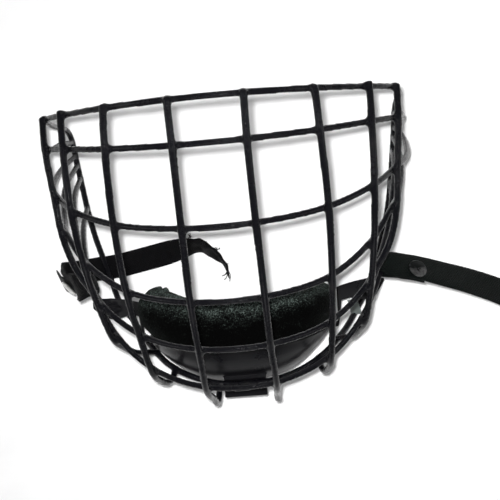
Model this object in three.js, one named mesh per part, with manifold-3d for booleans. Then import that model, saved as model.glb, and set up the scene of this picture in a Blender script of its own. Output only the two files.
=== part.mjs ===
// Hockey face cage: a welded wire mask with a padded chin cup and two chin strap ends.
//
// The cage lies on its back, so +Z points the way the wearer's face would look, +Y runs from
// the chin to the forehead and X runs across the face. All sizes are in millimetres. Pieces are
// drawn about the face's own midplane with the floor at Z = 0, and the last lines move the whole
// object so that its origin is the bottom centre of its bounding box.
import * as THREE from "three";
import { mergeVertices } from "three/addons/utils/BufferGeometryUtils.js";
import Module from "manifold-3d";

const wasm = await Module();
wasm.setup();

// ---------------------------------------------------------------- driving dimensions

const seatGap = 0.3;           // clearance that neighbouring pieces keep
const barRadius = 1.85;        // upright bars, on the outside of the cage
const hoopRadius = 1.6;        // hoops across the face, on the inside of the bars
const edgeRadius = 1.9;        // the edge wire that the cage lies on
const weldDepth = 0.7;         // how far two crossing wires sink into each other
const wireSides = 8;
const hoopSteps = 32;
const barSteps = 14;
const edgeSteps = 52;

const shellThick = 2;
const chinSections = 26;       // sections round the chin, for the cup and its pad
const cupAside = -3;           // the cup sits a little off the cage's midplane
const chinSquareness = 3;      // 2 would make the cup's plan an ellipse, more makes it squarer
const tongue = { from: -15, to: 11.5, wall: 5.7 };   // hooks the cup on the edge wire
const armThick = 2.6;
const recessTool = 20;         // tool length that reaches past any wall it cuts

const strapWidth = 16;
const strapThick = 1.5;
const snap = { capRadius: 5.4, capRise: 1.5, skirt: 0.6, postRadius: 1.6 };

const gloss = (color) => new THREE.MeshStandardMaterial({ color, roughness: 0.25, metalness: 0.1 });
const matt = (color) => new THREE.MeshStandardMaterial({ color, roughness: 0.9, metalness: 0 });
const metal = (color) => new THREE.MeshStandardMaterial({ color, roughness: 0.35, metalness: 0.9 });

// ---------------------------------------------------------------- making solids

const at = (x, y, z) => new THREE.Vector3(x, y, z);
const mirrored = (p) => at(-p.x, p.y, p.z);

function toManifold(geometry) {
  const bare = geometry.clone();
  bare.deleteAttribute("normal");
  bare.deleteAttribute("uv");
  const merged = mergeVertices(bare, 1e-4);
  return new wasm.Manifold(new wasm.Mesh({
    numProp: 3,
    vertProperties: new Float32Array(merged.attributes.position.array),
    triVerts: new Uint32Array(merged.index.array),
  }));
}

function toGeometry(manifold) {
  const { vertProperties, triVerts } = manifold.getMesh();
  const geometry = new THREE.BufferGeometry();
  geometry.setAttribute("position", new THREE.Float32BufferAttribute(vertProperties, 3));
  geometry.setIndex(Array.from(triVerts));
  geometry.computeVertexNormals();
  return geometry;
}

const joined = (solids) => solids.reduce((sum, next) => sum.add(next));

// A closed skin over rings of equally many points, with a fan over each end ring.
function loft(rings) {
  const around = rings[0].length;
  const middle = (ring) => ring.reduce((sum, p) => sum.add(p), at(0, 0, 0)).divideScalar(around);
  const points = [...rings.flat(), middle(rings[0]), middle(rings.at(-1))];
  const startPole = rings.length * around;
  const triangles = [];
  for (let i = 0; i < rings.length - 1; i++) {
    for (let j = 0; j < around; j++) {
      const a = i * around + j;
      const b = i * around + ((j + 1) % around);
      triangles.push(a, b, b + around, a, b + around, a + around);
    }
  }
  for (let j = 0; j < around; j++) {
    const next = (j + 1) % around;
    const last = (rings.length - 1) * around;
    triangles.push(startPole, next, j);
    triangles.push(startPole + 1, last + j, last + next);
  }
  const geometry = new THREE.BufferGeometry().setFromPoints(points);
  geometry.setIndex(triangles);
  let solid = new wasm.Manifold(new wasm.Mesh({
    numProp: 3,
    vertProperties: new Float32Array(geometry.attributes.position.array),
    triVerts: new Uint32Array(triangles),
  }));
  if (solid.volume() < 0) {
    for (let i = 0; i < triangles.length; i += 3) {
      [triangles[i + 1], triangles[i + 2]] = [triangles[i + 2], triangles[i + 1]];
    }
    solid = new wasm.Manifold(new wasm.Mesh({
      numProp: 3,
      vertProperties: new Float32Array(geometry.attributes.position.array),
      triVerts: new Uint32Array(triangles),
    }));
  }
  return solid;
}

// A round wire along a smooth curve through the given points.
function wire(points, radius, steps) {
  const section = new THREE.Shape();
  section.absarc(0, 0, radius, 0, Math.PI * 2);
  const path = new THREE.CatmullRomCurve3(points, false, "centripetal");
  return toManifold(new THREE.ExtrudeGeometry(section, {
    extrudePath: path, steps, curveSegments: wireSides / 2, bevelEnabled: false,
  }));
}

// A drum whose axis runs along the given direction, for holes, posts and caps.
function drum(centre, axis, radius, height, sides = 20, topRadius = radius) {
  const geometry = new THREE.CylinderGeometry(topRadius, radius, height, sides);
  const turn = new THREE.Quaternion().setFromUnitVectors(at(0, 1, 0), axis.clone().normalize());
  return toManifold(geometry.applyQuaternion(turn).translate(centre.x, centre.y, centre.z));
}

// ---------------------------------------------------------------- wire cage

// The hoops, from the forehead to the chin. Each list gives the hoop's place at the upright bars
// of one side, the inner one first: aside from the midplane, along the face and up from the floor.
// cheek and temple are where the hoop passes the side of the face, and rear is how far along the
// edge wire it ends. The rim has no rear, because its ends run on into the edge wire.
const hoops = [
  { name: "rim", aside: [18, 51, 79.6, 96.5], along: [73.9, 75.5, 79, 81.8],
    up: [160.5, 147.5, 121, 97.5], cheek: [103, 84.2, 67], temple: [107.3, 87.6, 32], rear: null },
  { name: "brow", aside: [17.6, 52.1, 79.2, 95.6], along: [52.4, 55.2, 60.4, 64.5],
    up: [157.5, 145.8, 123, 100], cheek: [104, 69.5, 64], temple: [108.3, 77.8, 28], rear: 82 },
  { name: "eye", aside: [18, 53.8, 78.1, 93.4], along: [12.7, 17.8, 27, 37],
    up: [146.5, 133.5, 121, 97], cheek: [103.5, 46.5, 70], temple: [108.6, 62, 30], rear: 73 },
  { name: "nose", aside: [18.6, 53.1, 76.4, 91.5], along: [-24.7, -17.6, -1.7, 17],
    up: [132, 119, 110.5, 95], cheek: [98, 26.5, 70], temple: [104, 46, 45], rear: 67 },
  { name: "mouth", aside: [18.7, 51.8, 74], along: [-51.2, -43.1, -24.8],
    up: [114, 100, 95.5], cheek: [88, 2, 74], temple: [99, 38, 44], rear: 58 },
  { name: "chin", aside: [19.3, 50, 70.7], along: [-75.4, -64.5, -44.2],
    up: [91, 83, 81], cheek: [86, -13.5, 66], temple: [96.5, 18, 38], rear: 38 },
];

// The upright bars: how many hoops each crosses, how far its top stands over the rim, and the
// points of its lower end, which curls under the chin to the edge wire or, on the outermost bar,
// bends in to the next one. Each point is aside, along and up.
const bars = [
  { column: 0, hoops: 6, rise: 1.2,
    lowerEnd: [[18.6, -83.4, 74], [18.2, -89.6, 57], [18, -86.2, 46], [18, -82, 43]] },
  { column: 1, hoops: 6, rise: 1.2,
    lowerEnd: [[49.4, -71.6, 70], [47, -75.2, 58], [45.4, -73.6, 47.5], [44.6, -69.4, 42]] },
  { column: 2, hoops: 6, rise: 2,
    lowerEnd: [[68.6, -51, 70], [65, -56, 57], [60.4, -58.2, 42], [57, -60, 31]] },
  { column: 3, hoops: 4, rise: 1.2,
    lowerEnd: [[89, 1, 92], [84.6, -8, 92], [78.4, -17, 94], [75, -26, 94.6]] },
];

// The edge wire of one side: it leaves the rim's rear corner, lies on the floor beside the cheek
// and rises under the chin, where the bars' curled ends are welded to it.
const edgeRoute = [
  [109, 89.4, 14], [108.8, 88.2, 7.4], [108.3, 84.6, 3.2], [107.6, 79, 2], [106.4, 69, edgeRadius],
  [104.1, 53, edgeRadius], [101.4, 35, edgeRadius], [97.7, 17, 2.3], [92.4, 0, 4.5],
  [87.8, -14, 7.2], [83.2, -27, 10.2], [73.8, -40.6, 14.2], [65, -53, 20.5], [57, -60.5, 31],
  [49, -66.5, 40], [39, -72.7, 43], [20, -80, 43], [0, -82, 43],
];

const netPoint = (hoop, column) => at(hoop.aside[column], hoop.along[column], hoop.up[column]);

function edgeAt(along) {
  const k = edgeRoute.findIndex((p, i) => i < edgeRoute.length - 1 && edgeRoute[i + 1][1] <= along);
  const a = edgeRoute[k];
  const b = edgeRoute[k + 1];
  const t = (a[1] - along) / (a[1] - b[1]);
  return at(a[0] + (b[0] - a[0]) * t, along, a[2] + (b[2] - a[2]) * t);
}

// The direction out of the cage at a crossing, square to its bar and its hoop.
function outward(row, column) {
  const hoop = hoops[row];
  const above = hoops[Math.max(row - 1, 0)];
  const below = hoops[Math.min(row + 1, bars[column].hoops - 1)];
  const alongBar = netPoint(above, column).sub(netPoint(below, column));
  const inner = column === 0 ? mirrored(netPoint(hoop, 0)) : netPoint(hoop, column - 1);
  const outer = column + 1 < hoop.aside.length ? netPoint(hoop, column + 1) : at(...hoop.cheek);
  return outer.sub(inner).cross(alongBar).normalize();
}

const layerShift = (barRadius + hoopRadius - weldDepth) / 2;

function hoopPoints(row) {
  const hoop = hoops[row];
  const right = hoop.aside.map((_, column) =>
    netPoint(hoop, column).addScaledVector(outward(row, column), -layerShift));
  right.push(at(...hoop.cheek), at(...hoop.temple));
  right.push(hoop.rear === null ? at(...edgeRoute[0]) : edgeAt(hoop.rear));
  return [...right.map(mirrored).reverse(), ...right];
}

function barPoints({ column, hoops: crossed, rise, lowerEnd }) {
  const points = hoops.slice(0, crossed).map((hoop, row) =>
    netPoint(hoop, column).addScaledVector(outward(row, column), layerShift));
  const top = points[0].clone().addScaledVector(points[0].clone().sub(points[1]).normalize(), rise);
  return [top, ...points, ...lowerEnd.map((p) => at(...p))];
}

function edgeWire(radius) {
  const right = edgeRoute.map((p) => at(...p));
  return wire([...right, ...right.slice(0, -1).map(mirrored).reverse()], radius, edgeSteps);
}

function wireCage() {
  const wires = hoops.map((_, row) => wire(hoopPoints(row), hoopRadius, hoopSteps));
  for (const bar of bars) {
    const points = barPoints(bar);
    wires.push(wire(points, barRadius, barSteps), wire(points.map(mirrored), barRadius, barSteps));
  }
  return joined([...wires, edgeWire(edgeRadius)]);
}

// ---------------------------------------------------------------- chin cup and pad

// Lines that run round the chin from one side to the other. aside is the half width at the ends,
// front and back are the heights over the floor at the chin and at the ends, and mid and end are
// the places along the face there.
const shellLines = [
  { name: "lip", aside: 59, front: 62, back: 13, mid: -57, end: -49 },
  { name: "face", aside: 58.5, front: 55, back: 12, mid: -66, end: -51 },
  { name: "low", aside: 56, front: 45, back: 12, mid: -75, end: -54 },
  { name: "keel", aside: 52, front: 35, back: 13, mid: -81, end: -56.5 },
];
const padLines = [
  { name: "front top", aside: 61, front: 57, back: 16, mid: -31.5, end: -23 },
  { name: "front middle", aside: 61.5, front: 60.5, back: 15, mid: -42, end: -32 },
  { name: "front foot", aside: 56.9, front: 59.9, back: 14, mid: -56.1, end: -48.5 },
  { name: "low", aside: 53.7, front: 42.6, back: 14, mid: -73.9, end: -53 },
  { name: "rear foot", aside: 42, front: 33, back: 14, mid: -68, end: -50 },
  { name: "rear middle", aside: 44, front: 44, back: 14, mid: -52, end: -40 },
  { name: "rear top", aside: 47, front: 46, back: 15, mid: -33.5, end: -20 },
  { name: "crown", aside: 55, front: 52, back: 16, mid: -29.5, end: -18.5 },
];

function roundChin(line, turn) {
  const squared = (v) => Math.sign(v) * Math.abs(v) ** (2 / chinSquareness);
  const lift = Math.abs(Math.sin(turn)) ** 1.8;
  return at(
    cupAside + line.aside * squared(Math.sin(turn)),
    line.mid + (line.end - line.mid) * lift,
    line.back + (line.front - line.back) * squared(Math.max(Math.cos(turn), 0)),
  );
}

function chinRings(lines) {
  return Array.from({ length: chinSections + 1 }, (_, i) => {
    const turn = (i / chinSections - 0.5) * Math.PI;
    return lines.map((line) => roundChin(line, turn));
  });
}

function cupShell() {
  const inner = shellLines.map((line) => ({
    ...line, aside: line.aside - shellThick, front: line.front - shellThick, mid: line.mid + 0.4,
  })).reverse();
  return loft(chinRings([...shellLines, ...inner]));
}

// The tongue comes off the cup's lower edge, passes behind the edge wire and ends below it. The
// angles go round the wire from the front towards the forehead.
const tongueRoot = Math.PI * 0.52;
const tongueTip = Math.PI * 1.48;

function cupTongue() {
  const [, wireAlong, wireUp] = edgeRoute.at(-1);
  const bore = edgeRadius + seatGap;
  const hook = new THREE.Shape();
  hook.absarc(0, 0, bore + tongue.wall, tongueRoot, tongueTip, false);
  hook.absarc(0, 0, bore, tongueTip, tongueRoot, true);
  const solid = new THREE.ExtrudeGeometry(hook, {
    depth: tongue.to - tongue.from, curveSegments: 7, bevelEnabled: false,
  });
  solid.applyMatrix4(new THREE.Matrix4().makeBasis(at(0, 0, 1), at(0, 1, 0), at(-1, 0, 0)));
  solid.translate(tongue.to, wireAlong, wireUp);
  return toManifold(solid).subtract(edgeWire(bore));
}

// The arm from the cup's wing out over the edge wire: how far aside each section stands, its
// height over the floor, and its upper and lower edge along the face.
const armSections = [
  { aside: 57.8, up: 27, top: -49.8, foot: -53.2 },
  { aside: 61.9, up: 27, top: -49.2, foot: -52.4 },
  { aside: 62.4, up: 27, top: -27.8, foot: -51 },
  { aside: 63.6, up: 26.6, top: -27.4, foot: -46 },
  { aside: 65, up: 25.6, top: -27, foot: -36.4 },
  { aside: 71, up: 21.4, top: -25.8, foot: -35.6 },
  { aside: 78, up: 17.2, top: -24.8, foot: -37.4 },
  { aside: 85, up: 14.2, top: -24, foot: -38 },
];
const armTips = {
  left: [{ aside: 91, up: 13.6, top: -24, foot: -36 }, { aside: 97, up: 14.2, top: -25.6, foot: -30 }],
  right: [{ aside: 88.6, up: 13.6, top: -24.2, foot: -35 }, { aside: 94, up: 14, top: -25, foot: -26.6 }],
};
const armSlot = { aside: 82, along: -31.2, up: 15.6, long: 5, wide: 2.4, rim: 2, rise: 0.8 };

function ovalPrism(long, wide, height) {
  const outline = new THREE.Shape();
  outline.absellipse(0, 0, long, wide, 0, Math.PI * 2);
  return new THREE.ExtrudeGeometry(outline, { depth: height, curveSegments: 10, bevelEnabled: false });
}

function cupArm(side) {
  const tip = side < 0 ? armTips.left : armTips.right;
  const rings = [...armSections, ...tip].map((section) => {
    const x = cupAside + side * section.aside;
    const front = section.up + armThick / 2;
    const back = section.up - armThick / 2;
    return [at(x, section.top, front), at(x, section.foot, front),
      at(x, section.foot, back), at(x, section.top, back)];
  });
  const { along, up, long, wide, rim, rise } = armSlot;
  const aside = cupAside + side * armSlot.aside;
  const band = ovalPrism(long + rim, wide + rim, armThick)
    .translate(aside, along, up - armThick / 2 + rise);
  const recess = ovalPrism(long, wide, recessTool).translate(aside, along, up);
  return loft(rings).add(toManifold(band)).subtract(toManifold(recess));
}

// The clear clip that ties the arm's lower edge to the edge wire.
const clipWidth = 6.4;
const clipSections = [
  { aside: 69.2, along: -37.2, up: 20.4, thick: 2.4 },
  { aside: 70, along: -40.6, up: 19, thick: 3 },
  { aside: 70.8, along: -43.6, up: 16.2, thick: 6.8 },
  { aside: 71.2, along: -46.6, up: 15, thick: 6.8 },
];

function armClip(side) {
  const rings = clipSections.map(({ aside, along, up, thick }) => {
    const near = side * (aside - clipWidth / 2);
    const far = side * (aside + clipWidth / 2);
    return [at(near, along, up + thick / 2), at(far, along, up + thick / 2),
      at(far, along, up - thick / 2), at(near, along, up - thick / 2)];
  });
  return loft(rings).subtract(edgeWire(edgeRadius + seatGap));
}

// ---------------------------------------------------------------- chin straps and snaps

// A strap is a flat ribbon. Each station gives the middle of the webbing, the direction across
// it, and the share of the full width that it has there.
const station = (middle, across, share = 1) => ({ middle, across, share });

function ribbonRings(stations, finer) {
  const curve = (points) => new THREE.CatmullRomCurve3(points, false, "centripetal");
  const middles = curve(stations.map((s) => s.middle));
  const acrosses = curve(stations.map((s) => s.across));
  const shares = curve(stations.map((s, i) => at(i, s.share, 0)));
  const nearby = 0.002;
  const count = (stations.length - 1) * finer + 1;
  return Array.from({ length: count }, (_, i) => {
    const t = i / (count - 1);
    const middle = middles.getPoint(t);
    const ahead = middles.getPoint(Math.min(t + nearby, 1));
    const forward = ahead.sub(middles.getPoint(Math.max(t - nearby, 0))).normalize();
    const half = acrosses.getPoint(t);
    half.addScaledVector(forward, -half.dot(forward)).setLength(strapWidth * shares.getPoint(t).y / 2);
    const thick = forward.clone().cross(half).setLength(strapThick / 2);
    const corners = [
      middle.clone().add(half).add(thick), middle.clone().sub(half).add(thick),
      middle.clone().sub(half).sub(thick), middle.clone().add(half).sub(thick),
    ];
    for (const corner of corners) corner.z = Math.max(corner.z, 0);
    return corners;
  });
}

const ribbon = (stations, finer = 2) => loft(ribbonRings(stations, finer));

// Both straps hold the chin hoop in a loose loop. A loop is drawn in the plane square to the
// hoop: out from the face, and up.
const chinHoop = hoops.length - 1;

function hoopFrame(side, along) {
  const curve = new THREE.CatmullRomCurve3(hoopPoints(chinHoop), false, "centripetal");
  let low = 0.5;
  let high = 1;
  for (let halving = 0; halving < 24; halving += 1) {
    const middle = (low + high) / 2;
    if (curve.getPoint(middle).y < along) low = middle;
    else high = middle;
  }
  const centre = curve.getPoint(low);
  const wireWay = curve.getTangent(low);
  const out = wireWay.clone().cross(at(0, 0, 1)).normalize();
  const up = out.clone().cross(wireWay);
  for (const v of [centre, wireWay, out, up]) v.x *= side;
  return { centre, wireWay, out, up };
}

const loopSlack = 0.3;
const loopShare = 0.72;

function foldArc({ centre, wireWay, out, up }, startDegrees, endDegrees) {
  const radius = hoopRadius + seatGap + loopSlack + strapThick / 2;
  return Array.from({ length: 7 }, (_, i) => {
    const turn = THREE.MathUtils.degToRad(startDegrees + (endDegrees - startDegrees) * i / 6);
    const middle = centre.clone().addScaledVector(out, Math.cos(turn) * radius)
      .addScaledVector(up, Math.sin(turn) * radius);
    return station(middle, wireWay.clone(), loopShare);
  });
}

const rowStation = ({ aside, along, up, across, share = 1 }) =>
  station(at(aside, along, up), at(...across), share);

// The layer under the given one, without its first station and in the opposite order.
const layerSpacing = strapThick + 0.5;

function layerUnder(upper) {
  return upper.slice(1).map((s, i) => {
    const forward = s.middle.clone().sub(upper[i].middle).normalize();
    const below = forward.cross(s.across).normalize();
    if (below.z > 0) below.negate();
    return station(s.middle.clone().addScaledVector(below, layerSpacing), s.across.clone(), s.share);
  }).reverse();
}

// The right strap: the cut end lies under the upper layer, the loop holds the hoop, and the upper
// layer runs out from it and sinks towards its free end. The snap goes through both layers.
const rightUpper = [
  { aside: 90, along: -14.8, up: 69.4, across: [0.28, 0.81, -0.52] },
  { aside: 95.2, along: -15.7, up: 69, across: [0.25, 0.79, -0.55] },
  { aside: 99.7, along: -16.7, up: 68.4, across: [0.22, 0.78, -0.58] },
  { aside: 104.7, along: -18, up: 67.2, across: [0.22, 0.78, -0.58] },
  { aside: 109.7, along: -19.6, up: 65.6, across: [0.22, 0.78, -0.58] },
  { aside: 114.4, along: -21.2, up: 63.6, across: [0.24, 0.79, -0.56] },
  { aside: 124.2, along: -24.6, up: 59, across: [0.26, 0.8, -0.54] },
  { aside: 135, along: -28.4, up: 53.2, across: [0.29, 0.83, -0.48] },
  { aside: 149.4, along: -34.2, up: 44.6, across: [0.34, 0.87, -0.36] },
  { aside: 157.6, along: -37.9, up: 39.4, across: [0.37, 0.89, -0.3] },
  { aside: 167.3, along: -42.6, up: 33, across: [0.38, 0.89, -0.28] },
].map(rowStation);
const rightSnapRow = 3;
const rightLower = layerUnder(rightUpper.slice(0, rightSnapRow + 2));
const rightStrap = [...rightLower, ...foldArc(hoopFrame(1, -15.4), -75, -285), ...rightUpper];

// The left strap: from its cut end, which stands out over the fold, the upper layer runs up to the
// hoop and round it, the lower layer runs back down under it, and the strap then folds over on the
// floor, passes under the edge wire and lies inside the cage, where it ends frayed and twisted.
const leftUpper = [
  { aside: -111.2, along: -9.3, up: 42, across: [0.05, 0.66, 0.75] },
  { aside: -107, along: -11.2, up: 48, across: [-0.28, 0.72, 0.58] },
  { aside: -102.2, along: -12.8, up: 54, across: [-0.55, 0.77, 0.31] },
  { aside: -98.2, along: -13.1, up: 60.5, across: [-0.42, 0.9, 0.12] },
  { aside: -94.8, along: -13.9, up: 66.8, across: [-0.32, 0.9, -0.3] },
  { aside: -90.2, along: -13.5, up: 70, across: [-0.32, 0.8, -0.5] },
].map(rowStation);
const leftSnapRow = 2;
const foldDown = [
  { aside: -108.4, along: -8.4, up: 38, across: [-0.35, 0.85, 0.4], share: 1 },
  { aside: -113.6, along: -6.6, up: 26, across: [-0.2, 0.95, 0.2], share: 0.98 },
  { aside: -117.8, along: -5.4, up: 14, across: [-0.05, 1, 0.08], share: 0.95 },
  { aside: -118.9, along: -5.2, up: 6.4, across: [0, 1, 0], share: 0.94 },
  { aside: -116.4, along: -5.4, up: 1.7, across: [0, 1, 0], share: 0.96 },
  { aside: -109.4, along: -5.2, up: 0.75, across: [0, 1, 0], share: 0.98 },
  { aside: -98, along: -4.3, up: 0.75, across: [0.03, 1, 0], share: 1 },
  { aside: -86, along: -3.5, up: 0.75, across: [0.02, 1, 0], share: 1 },
  { aside: -70, along: -0.9, up: 0.75, across: [-0.13, 1, 0], share: 1 },
  { aside: -54, along: 2, up: 1.3, across: [-0.17, 1, 0.05], share: 1 },
  { aside: -42, along: 4.4, up: 3.8, across: [-0.15, 0.9, 0.42], share: 0.96 },
  { aside: -33, along: 6, up: 6, across: [0, 0.7, 0.72], share: 0.92 },
  { aside: -26.5, along: 5, up: 6.5, across: [0.2, 0.6, 0.78], share: 0.86 },
  { aside: -20.5, along: 1.6, up: 6, across: [0.45, 0.4, 0.8], share: 0.76 },
  { aside: -15.6, along: -3.2, up: 4.6, across: [0.6, 0.25, 0.76], share: 0.56 },
  { aside: -12, along: -8, up: 2.8, across: [0.8, 0.1, 0.6], share: 0.34 },
  { aside: -10.6, along: -13, up: 1.4, across: [1, 0, 0.2], share: 0.14 },
].map(rowStation);
const leftLower = layerUnder(leftUpper.slice(0, -1));
const leftStrap = [...leftUpper, ...foldArc(hoopFrame(-1, -13), 80, 312), ...leftLower, ...foldDown];

// Where a snap sits on its strap: at a row of the upper layer, off the middle of the webbing by
// the given distance, and through the layer under it.
function snapSeat(upper, lower, row, offMiddle) {
  const across = upper[row].across.clone().normalize();
  const normal = upper[row + 1].middle.clone().sub(upper[row - 1].middle).cross(across).normalize();
  if (normal.z < 0) normal.negate();
  const spot = ({ middle }) => middle.clone().addScaledVector(across, offMiddle);
  return { upper: spot(upper[row]), lower: spot(lower[lower.length - row]), normal };
}

function snapButton({ lower, upper, normal }) {
  const capBase = upper.clone().addScaledVector(normal, strapThick / 2 + seatGap + snap.skirt);
  const cap = drum(capBase.clone().addScaledVector(normal, snap.capRise / 2),
    normal, snap.capRadius, snap.capRise, 20, snap.capRadius * 0.74);
  const postFoot = lower.clone().addScaledVector(normal, 0.1 - strapThick / 2);
  const postTop = capBase.clone().addScaledVector(normal, snap.capRise / 2);
  const post = drum(postFoot.clone().add(postTop).multiplyScalar(0.5), postTop.clone().sub(postFoot),
    snap.postRadius, postTop.distanceTo(postFoot), 10);
  return cap.add(post);
}

const postHole = ({ lower, upper }) => drum(lower.clone().add(upper).multiplyScalar(0.5),
  upper.clone().sub(lower), snap.postRadius + seatGap, upper.distanceTo(lower) + 6, 10);

const rightSeat = snapSeat(rightUpper, rightLower, rightSnapRow, -2);
const leftSeat = snapSeat(leftUpper, leftLower, leftSnapRow, 0);

// ---------------------------------------------------------------- the object

const mask = new THREE.Group();

function place(name, solid, material) {
  const mesh = new THREE.Mesh(toGeometry(solid), material);
  mesh.name = name;
  mask.add(mesh);
}

place("wire_cage", wireCage(), gloss(0x0d0d0f));
place("chin_cup", joined([cupShell(), cupTongue(), cupArm(1), cupArm(-1)]), gloss(0x0b0b0c));
place("chin_pad", loft(chinRings(padLines)), matt(0x2b312d));
place("arm_clip", armClip(1), gloss(0x7d8583));
place("strap_left", ribbon(leftStrap).subtract(postHole(leftSeat)), matt(0x101113));
place("strap_right", ribbon(rightStrap).subtract(postHole(rightSeat)), matt(0x141a17));
place("snap_left", snapButton(leftSeat), metal(0xb9bcc0));
place("snap_right", snapButton(rightSeat), metal(0x6d7073));

// The origin moves to the bottom centre of the whole object's bounding box.
const box = new THREE.Box3().setFromObject(mask);
const middle = box.getCenter(new THREE.Vector3());
mask.position.set(-middle.x, -middle.y, -box.min.z);

export default mask;
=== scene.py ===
"""Hockey face cage lying on its back: coated wire, chin cup and pad, chin straps and snaps."""
import math
import random

import bmesh
import bpy
from mathutils import Matrix, Vector, noise


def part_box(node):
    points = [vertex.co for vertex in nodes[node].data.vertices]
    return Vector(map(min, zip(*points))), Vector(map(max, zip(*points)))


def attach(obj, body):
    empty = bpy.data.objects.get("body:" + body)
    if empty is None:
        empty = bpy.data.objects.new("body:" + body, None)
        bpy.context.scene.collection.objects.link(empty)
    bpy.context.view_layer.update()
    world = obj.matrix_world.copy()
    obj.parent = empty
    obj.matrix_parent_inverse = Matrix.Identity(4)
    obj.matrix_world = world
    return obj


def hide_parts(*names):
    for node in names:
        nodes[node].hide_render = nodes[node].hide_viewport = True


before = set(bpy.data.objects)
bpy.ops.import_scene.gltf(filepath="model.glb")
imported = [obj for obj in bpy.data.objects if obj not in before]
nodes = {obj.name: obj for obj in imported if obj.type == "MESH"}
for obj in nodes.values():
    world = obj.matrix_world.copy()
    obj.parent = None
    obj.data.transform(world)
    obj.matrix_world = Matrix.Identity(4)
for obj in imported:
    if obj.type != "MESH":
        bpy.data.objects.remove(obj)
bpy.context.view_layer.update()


# ---------------------------------------------------------------- wire cage
# Steel wires of three gauges, welded where they cross and then dipped in glossy black coating,
# which rounds the wire ends and fills the notch beside each weld. Sizes are in millimetres, from
# the face's own midplane, the chin-to-forehead middle and the floor: aside, along and up.
cage_low, cage_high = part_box("wire_cage")
forehead_edge = 91.3
drawing_origin = Vector(((cage_low.x + cage_high.x) / 2, cage_high.y - forehead_edge / 1000, 0))

bar_radius = 1.85
hoop_radius = 1.6
edge_radius = 1.9
weld_depth = 0.7
layer_shift = (bar_radius + hoop_radius - weld_depth) / 2

hoops = [
    {"name": "rim", "aside": [18, 51, 79.6, 96.5], "along": [73.9, 75.5, 79, 81.8],
     "up": [160.5, 147.5, 121, 97.5], "cheek": (103, 84.2, 67), "temple": (107.3, 87.6, 32), "rear": None},
    {"name": "brow", "aside": [17.6, 52.1, 79.2, 95.6], "along": [52.4, 55.2, 60.4, 64.5],
     "up": [157.5, 145.8, 123, 100], "cheek": (104, 69.5, 64), "temple": (108.3, 77.8, 28), "rear": 82},
    {"name": "eye", "aside": [18, 53.8, 78.1, 93.4], "along": [12.7, 17.8, 27, 37],
     "up": [146.5, 133.5, 121, 97], "cheek": (103.5, 46.5, 70), "temple": (108.6, 62, 30), "rear": 73},
    {"name": "nose", "aside": [18.6, 53.1, 76.4, 91.5], "along": [-24.7, -17.6, -1.7, 17],
     "up": [132, 119, 110.5, 95], "cheek": (98, 26.5, 70), "temple": (104, 46, 45), "rear": 67},
    {"name": "mouth", "aside": [18.7, 51.8, 74], "along": [-51.2, -43.1, -24.8],
     "up": [114, 100, 95.5], "cheek": (88, 2, 74), "temple": (99, 38, 44), "rear": 58},
    {"name": "chin", "aside": [19.3, 50, 70.7], "along": [-75.4, -64.5, -44.2],
     "up": [91, 83, 81], "cheek": (86, -13.5, 66), "temple": (96.5, 18, 38), "rear": 38},
]
bars = [
    {"column": 0, "hoops": 6, "rise": 1.2,
     "lower_end": [(18.6, -83.4, 74), (18.2, -89.6, 57), (18, -86.2, 46), (18, -82, 43)]},
    {"column": 1, "hoops": 6, "rise": 1.2,
     "lower_end": [(49.4, -71.6, 70), (47, -75.2, 58), (45.4, -73.6, 47.5), (44.6, -69.4, 42)]},
    {"column": 2, "hoops": 6, "rise": 2,
     "lower_end": [(68.6, -51, 70), (65, -56, 57), (60.4, -58.2, 42), (57, -60, 31)]},
    {"column": 3, "hoops": 4, "rise": 1.2,
     "lower_end": [(89, 1, 92), (84.6, -8, 92), (78.4, -17, 94), (75, -26, 94.6)]},
]
edge_route = [
    (109, 89.4, 14), (108.8, 88.2, 7.4), (108.3, 84.6, 3.2), (107.6, 79, 2), (106.4, 69, 1.9),
    (104.1, 53, 1.9), (101.4, 35, 1.9), (97.7, 17, 2.3), (92.4, 0, 4.5), (87.8, -14, 7.2),
    (83.2, -27, 10.2), (73.8, -40.6, 14.2), (65, -53, 20.5), (57, -60.5, 31), (49, -66.5, 40),
    (39, -72.7, 43), (20, -80, 43), (0, -82, 43),
]


def placed(points):
    """Drawn points in millimetres, as places in the object's own frame in metres."""
    return [drawing_origin + Vector(p) / 1000 for p in points]


def smooth_line(points, spacing, fine_steps=30):
    """Evenly spaced points of a smooth curve through the given ones."""
    p = [Vector(q) for q in points]
    p = [2 * p[0] - p[1], *p, 2 * p[-1] - p[-2]]
    fine = []
    for a, b, c, d in zip(p, p[1:], p[2:], p[3:]):
        t1 = (b - a).length ** 0.5
        t2 = t1 + (c - b).length ** 0.5
        t3 = t2 + (d - c).length ** 0.5
        for k in range(fine_steps):
            t = t1 + (t2 - t1) * k / fine_steps
            share = (t - t1) / (t2 - t1)
            ab = a.lerp(b, t / t1)
            bc = b.lerp(c, share)
            cd = c.lerp(d, (t - t2) / (t3 - t2))
            fine.append(ab.lerp(bc, t / t2).lerp(bc.lerp(cd, (t - t1) / (t3 - t1)), share))
    fine.append(p[-2])
    lengths = [0]
    for a, b in zip(fine, fine[1:]):
        lengths.append(lengths[-1] + (b - a).length)
    count = max(round(lengths[-1] / spacing), 2)
    line, k = [], 0
    for i in range(count + 1):
        reach = lengths[-1] * i / count
        while k < len(fine) - 2 and lengths[k + 1] < reach:
            k += 1
        line.append(fine[k].lerp(fine[k + 1], (reach - lengths[k]) / (lengths[k + 1] - lengths[k])))
    return line


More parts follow.
